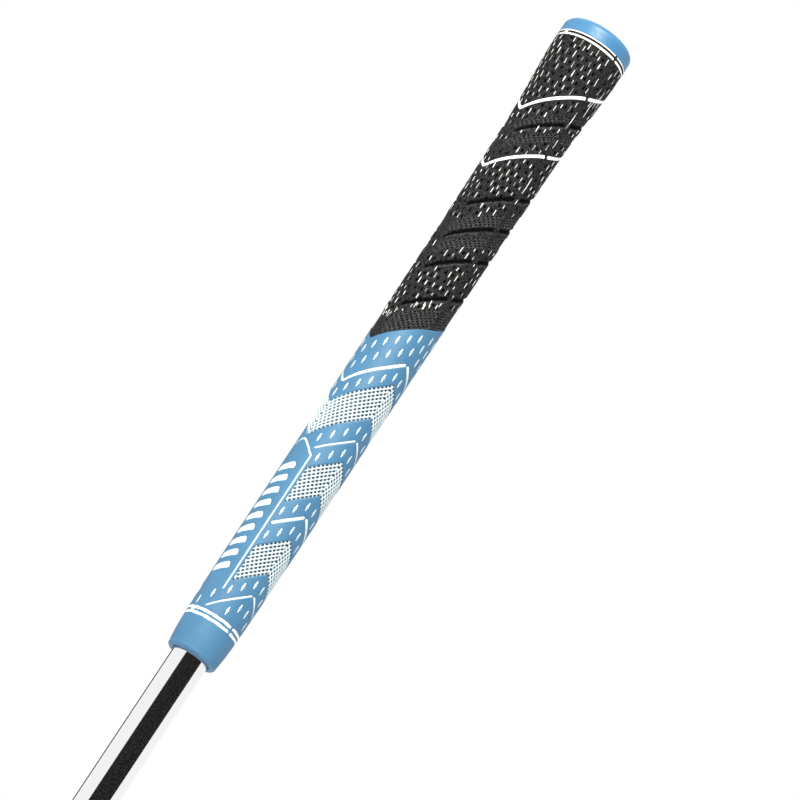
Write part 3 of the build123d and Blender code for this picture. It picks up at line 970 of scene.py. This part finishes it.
def make_cords(material):
    """Cotton strands that show at the surface, in staggered columns, and long runs at each seam."""
    random = np.random.default_rng(SEED)
    parts = []
    for column in range(CORD_COLUMNS):
        for row in range(-2, 21):
            azimuth = (column + 0.5) * 360.0 / CORD_COLUMNS - 180.0 + random.normal(0.0, 0.5)
            station = CORD_START + CORD_PITCH * (row + 0.5 * (column % 2)) + random.normal(0.0, 0.35)
            station += CORD_DRIFT * abs(azimuth)
            length = random.uniform(*CORD_LENGTHS)
            if station > LONG_STRANDS_FROM:
                length *= LONG_STRAND_STRETCH
            width = random.uniform(*CORD_WIDTHS)
            sway = random.normal(0.0, 0.04)
            shown = random.random() < CORDS_SHOWN
            top = CAP_RINGS[0][0] - 0.5 - 0.5 * length
            if top < station < top + 2.2:
                station = top
            if shown and on_plain_rubber(azimuth, station, 0.5 * length):
                parts.append(strand(azimuth, station, length, width, sway))
    for _ in range(BORDER_STRANDS):
        azimuth = random.uniform(-180.0, 180.0)
        length = random.uniform(0.9, 2.4)
        station = vee(BORDER_STATION, azimuth) + random.uniform(9.0, 12.0)
        if on_plain_rubber(azimuth, station, 0.5 * length):
            parts.append(strand(azimuth, station, length, random.uniform(0.26, 0.36), 0.12))
    for side in (-1.0, 1.0):
        for station, length in SEAM_STRANDS:
            parts.append(strand(side * SEAM_AZIMUTH, station, length, 0.42, 0.06))
        for distance, station, length in WAVY_STRANDS:
            azimuth = side * (SEAM_AZIMUTH + distance)
            parts.append(strand(azimuth, station, length, 0.3, 0.2))
    piece("cord_fabric", *join(parts), material, "cotton_cord", ["cord_fabric"])


# Stage ------------------------------------------------------------------------------------------

# Camera, from the axis at the grip's mouth: azimuth, distance and height, then its own angles
CAMERA_AZIMUTH = 58.0
CAMERA_DISTANCE = 1798.2
CAMERA_HEIGHT = -453.0
CAMERA_YAW = 0.352
CAMERA_PITCH = 17.56
CAMERA_ROLL = 33.41
CAMERA_LENS = 249.0

FLOOR_HEIGHT = -0.6
FLOOR_RADIUS = 60.0

# Key light and dark flags: azimuth from the camera, elevation, distance and size in metres
KEY_LIGHT = (-15.0, 36.0, 2.4, (1.2, 0.9))
KEY_WATTS = 98.0
KEY_COLOUR = (1.0, 0.98, 0.84)
FLAGS = {
    "front_flag": (16.5, 18.0, 3.4, (9.2, 1.3)),
    "rear_flag": (-155.5, 18.0, 3.4, (1.7, 1.1)),
}


def turned_frame(azimuth, yaw, pitch, roll):
    """Right, up and back directions of something that looks at the axis from an azimuth."""
    heading = math.radians(azimuth - yaw)
    pitch, roll = math.radians(pitch), math.radians(roll)
    level = Vector((math.cos(heading), math.sin(heading), 0.0))
    inward = Vector((-math.sin(heading), math.cos(heading), 0.0))
    forward = inward * math.cos(pitch) + Vector((0.0, 0.0, math.sin(pitch)))
    upright = level.cross(forward)
    right = level * math.cos(roll) + upright * math.sin(roll)
    return right, right.cross(forward), -forward


def make_camera():
    """Long lens that looks up at the grip from below its mouth, rolled so that it lies diagonally."""
    data = bpy.data.cameras.new("camera")
    data.lens = CAMERA_LENS
    data.sensor_width = 36.0
    camera = bpy.data.objects.new("camera", data)
    bpy.context.scene.collection.objects.link(camera)
    axes = turned_frame(CAMERA_AZIMUTH, CAMERA_YAW, CAMERA_PITCH, CAMERA_ROLL)
    place_camera = Matrix([list(axis) for axis in axes]).transposed().to_4x4()
    place_camera.translation = place(CAMERA_AZIMUTH, CAMERA_HEIGHT, CAMERA_DISTANCE).tolist()
    camera.matrix_world = place_camera
    bpy.context.scene.camera = camera


def stage_material(name, colour, roughness):
    """Even studio surface with a trace of grain."""
    n = Nodes(name)
    grain = n.spread(n.noise(4.0), 0.0, 1.0)
    lighter = tuple(min(1.0, 1.02 * value) for value in colour)
    n.link(n.mix(grain, colour, lighter), n.shader.inputs["Base Color"])
    n.shader.inputs["Roughness"].default_value = roughness
    return n.material


def stage_card(name, azimuth, elevation, distance, size, material):
    """Flat card that faces the grip, out of the camera's sight."""
    points = [(-0.5, -0.5, 0.0), (0.5, -0.5, 0.0), (0.5, 0.5, 0.0), (-0.5, 0.5, 0.0)]
    mesh = bpy.data.meshes.new(name)
    mesh.from_pydata([(x * size[0], y * size[1], z) for x, y, z in points], [], [(0, 1, 2, 3)])
    mesh.materials.append(material)
    card = bpy.data.objects.new(name, mesh)
    bpy.context.scene.collection.objects.link(card)
    aim_at_grip(card, azimuth, elevation, distance)


def aim_at_grip(obj, azimuth, elevation, distance):
    """Put something at a distance in metres from the grip's middle, facing it."""
    turn, rise = math.radians(azimuth), math.radians(elevation)
    back = Vector((math.sin(turn) * math.cos(rise), -math.cos(turn) * math.cos(rise), math.sin(rise)))
    middle = Vector((0.0, 0.0, MM * 0.5 * (BARE_SHAFT + GRIP_LENGTH)))
    obj.location = middle + back * distance
    obj.rotation_mode = "QUATERNION"
    obj.rotation_quaternion = back.to_track_quat("Z", "Y")


def soft_light(name, azimuth, elevation, distance, size, watts, colour):
    """Rectangular soft box that faces the grip."""
    data = bpy.data.lights.new(name, "AREA")
    data.shape = "RECTANGLE"
    data.size, data.size_y = size
    data.energy = watts
    data.color = colour
    light = bpy.data.objects.new(name, data)
    bpy.context.scene.collection.objects.link(light)
    aim_at_grip(light, azimuth, elevation, distance)


def make_stage():
    """White surroundings, a pale floor far below the grip, a key light and two dark flags."""
    bpy.context.scene.view_settings.view_transform = "Standard"
    world = bpy.data.worlds.new("studio")
    world.use_nodes = True
    world.node_tree.nodes["Background"].inputs["Color"].default_value = (1.0, 1.0, 1.0, 1.0)
    world.node_tree.nodes["Background"].inputs["Strength"].default_value = 1.0
    bpy.context.scene.world = world
    bpy.ops.mesh.primitive_circle_add(vertices=96, radius=FLOOR_RADIUS, fill_type="NGON",
                                      location=(0.0, 0.0, FLOOR_HEIGHT))
    floor = bpy.context.object
    floor.name = "floor"
    floor.data.materials.append(stage_material("floor", (0.93, 0.93, 0.93), 0.9))
    flag = stage_material("flag", (0.004, 0.004, 0.004), 1.0)
    for name, (azimuth, elevation, distance, size) in FLAGS.items():
        stage_card(name, CAMERA_AZIMUTH + azimuth, elevation, distance, size, flag)
    azimuth, elevation, distance, size = KEY_LIGHT
    soft_light("key", CAMERA_AZIMUTH + azimuth, elevation, distance, size, KEY_WATTS, KEY_COLOUR)


blue = rubber("blue_rubber", (0.037, 0.134, 0.262), (0.044, 0.155, 0.296), 0.56, 0.4)
cap_blue = rubber("blue_cap_rubber", (0.036, 0.150, 0.310), (0.042, 0.168, 0.345), 0.42, 0.25)
black = corded_rubber("corded_rubber")
white = paint("white_paint", (0.74, 0.77, 0.80), (0.92, 0.93, 0.94))
soft_white = paint("soft_white_paint", (0.47, 0.56, 0.63), (0.64, 0.72, 0.78))
cord = cotton("cotton_cord")
make_shaft(chrome("chrome_plate"))
make_lower_sleeve(blue)
make_upper_sleeve(black)
make_cap(cap_blue)
make_lower_lines(soft_white)
make_textures(soft_white)
make_rings(white)
make_panel(soft_white)
make_upper_lines(white)
make_dashes(soft_white)
make_cords(cord)
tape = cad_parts["grip_tape"]
tape.data.materials.clear()
tape.data.materials.append(crepe_tape("crepe_tape"))
make_stage()
make_camera()
